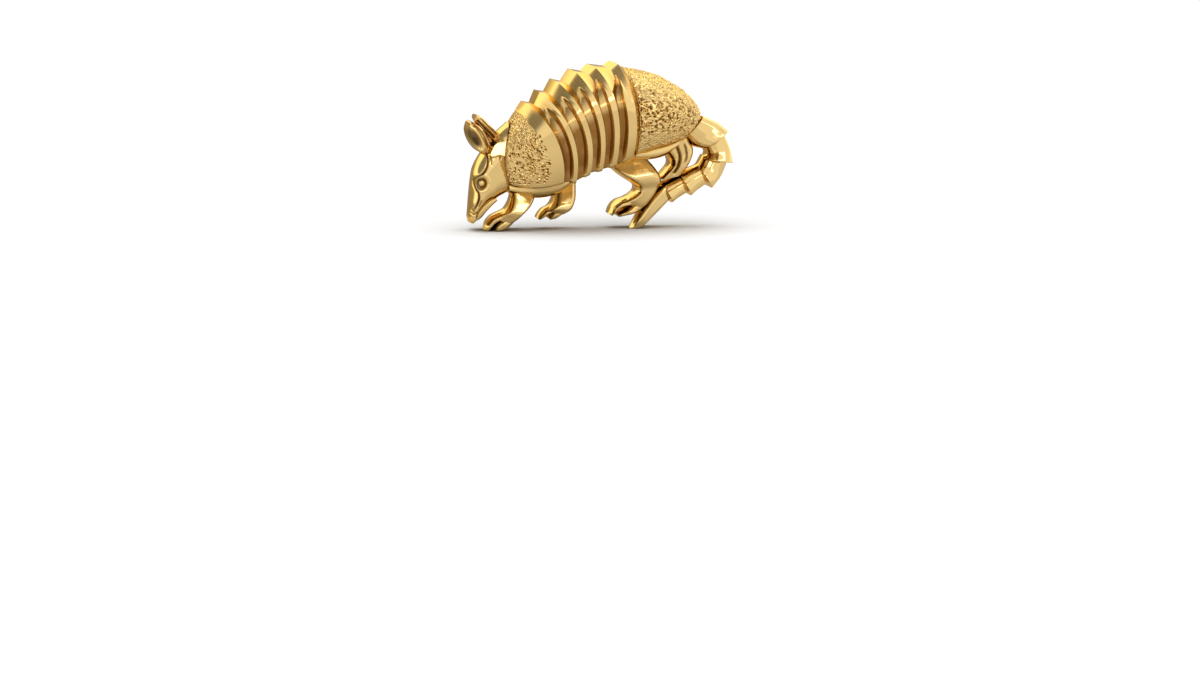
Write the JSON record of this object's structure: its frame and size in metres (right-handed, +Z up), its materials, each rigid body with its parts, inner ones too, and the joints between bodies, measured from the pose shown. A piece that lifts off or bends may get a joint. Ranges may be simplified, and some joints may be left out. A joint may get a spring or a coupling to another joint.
{
  "type": "armadillo charm",
  "caption": "Cast gold-coloured armadillo charm in high relief with a flat back: nose down, pitted shoulder and hip shields, sharp shell bands between them, flared tail rings.",
  "frame": {"origin": "on the surface it stands on, below the middle of the charm's length and depth", "axes": "+X from head to tail, +Y out of the flat back, +Z up"},
  "size_m": [0.0314, 0.012, 0.0196],
  "materials": {
    "gold": "polished yellow gold plate on cast brass"
  },
  "bodies": {
    "root": {"head": "gold", "lower_jaw": "gold", "eye": "gold", "ear_near": "gold", "ear_far": "gold", "shoulder_shield": "gold", "shoulder_rim": "gold", "band_1": "gold", "band_2": "gold", "band_3": "gold", "band_4": "gold", "band_5": "gold", "pelvic_shield": "gold", "pelvic_skirt": "gold", "front_leg_near": "gold", "front_leg_far": "gold", "hind_leg_near": "gold", "hind_leg_far": "gold", "tail_ring_1": "gold", "tail_ring_2": "gold", "tail_ring_3": "gold", "tail_ring_4": "gold", "tail_ring_5": "gold", "tail_tip": "gold"}
  },
  "joints": []
}
